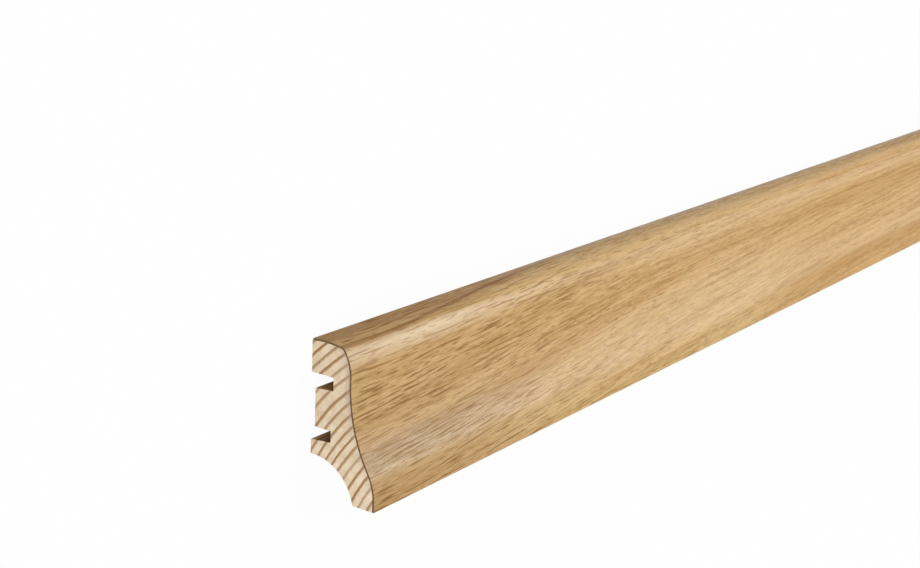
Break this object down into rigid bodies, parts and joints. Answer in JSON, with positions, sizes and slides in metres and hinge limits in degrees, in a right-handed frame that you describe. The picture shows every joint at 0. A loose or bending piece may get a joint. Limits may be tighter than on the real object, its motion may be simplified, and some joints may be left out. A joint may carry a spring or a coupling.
{
  "type": "skirting board length",
  "caption": "Straight length of small skirting board: softwood core, oak-veneered moulded face, clip grooves and a cable cove in the wall side.",
  "frame": {"origin": "centre of the wall side, on the plane that the board lies on and that the wall would be", "axes": "+X along the length, +Y towards the top edge, +Z out of the wall towards the room"},
  "size_m": [2.4, 0.04, 0.02],
  "materials": {
    "softwood_core": "bare planed softwood, sawn square at the ends",
    "oak_veneer": "clear satin lacquer over oak veneer"
  },
  "bodies": {
    "root": {"core": "softwood_core", "face_veneer": "oak_veneer"}
  },
  "joints": []
}
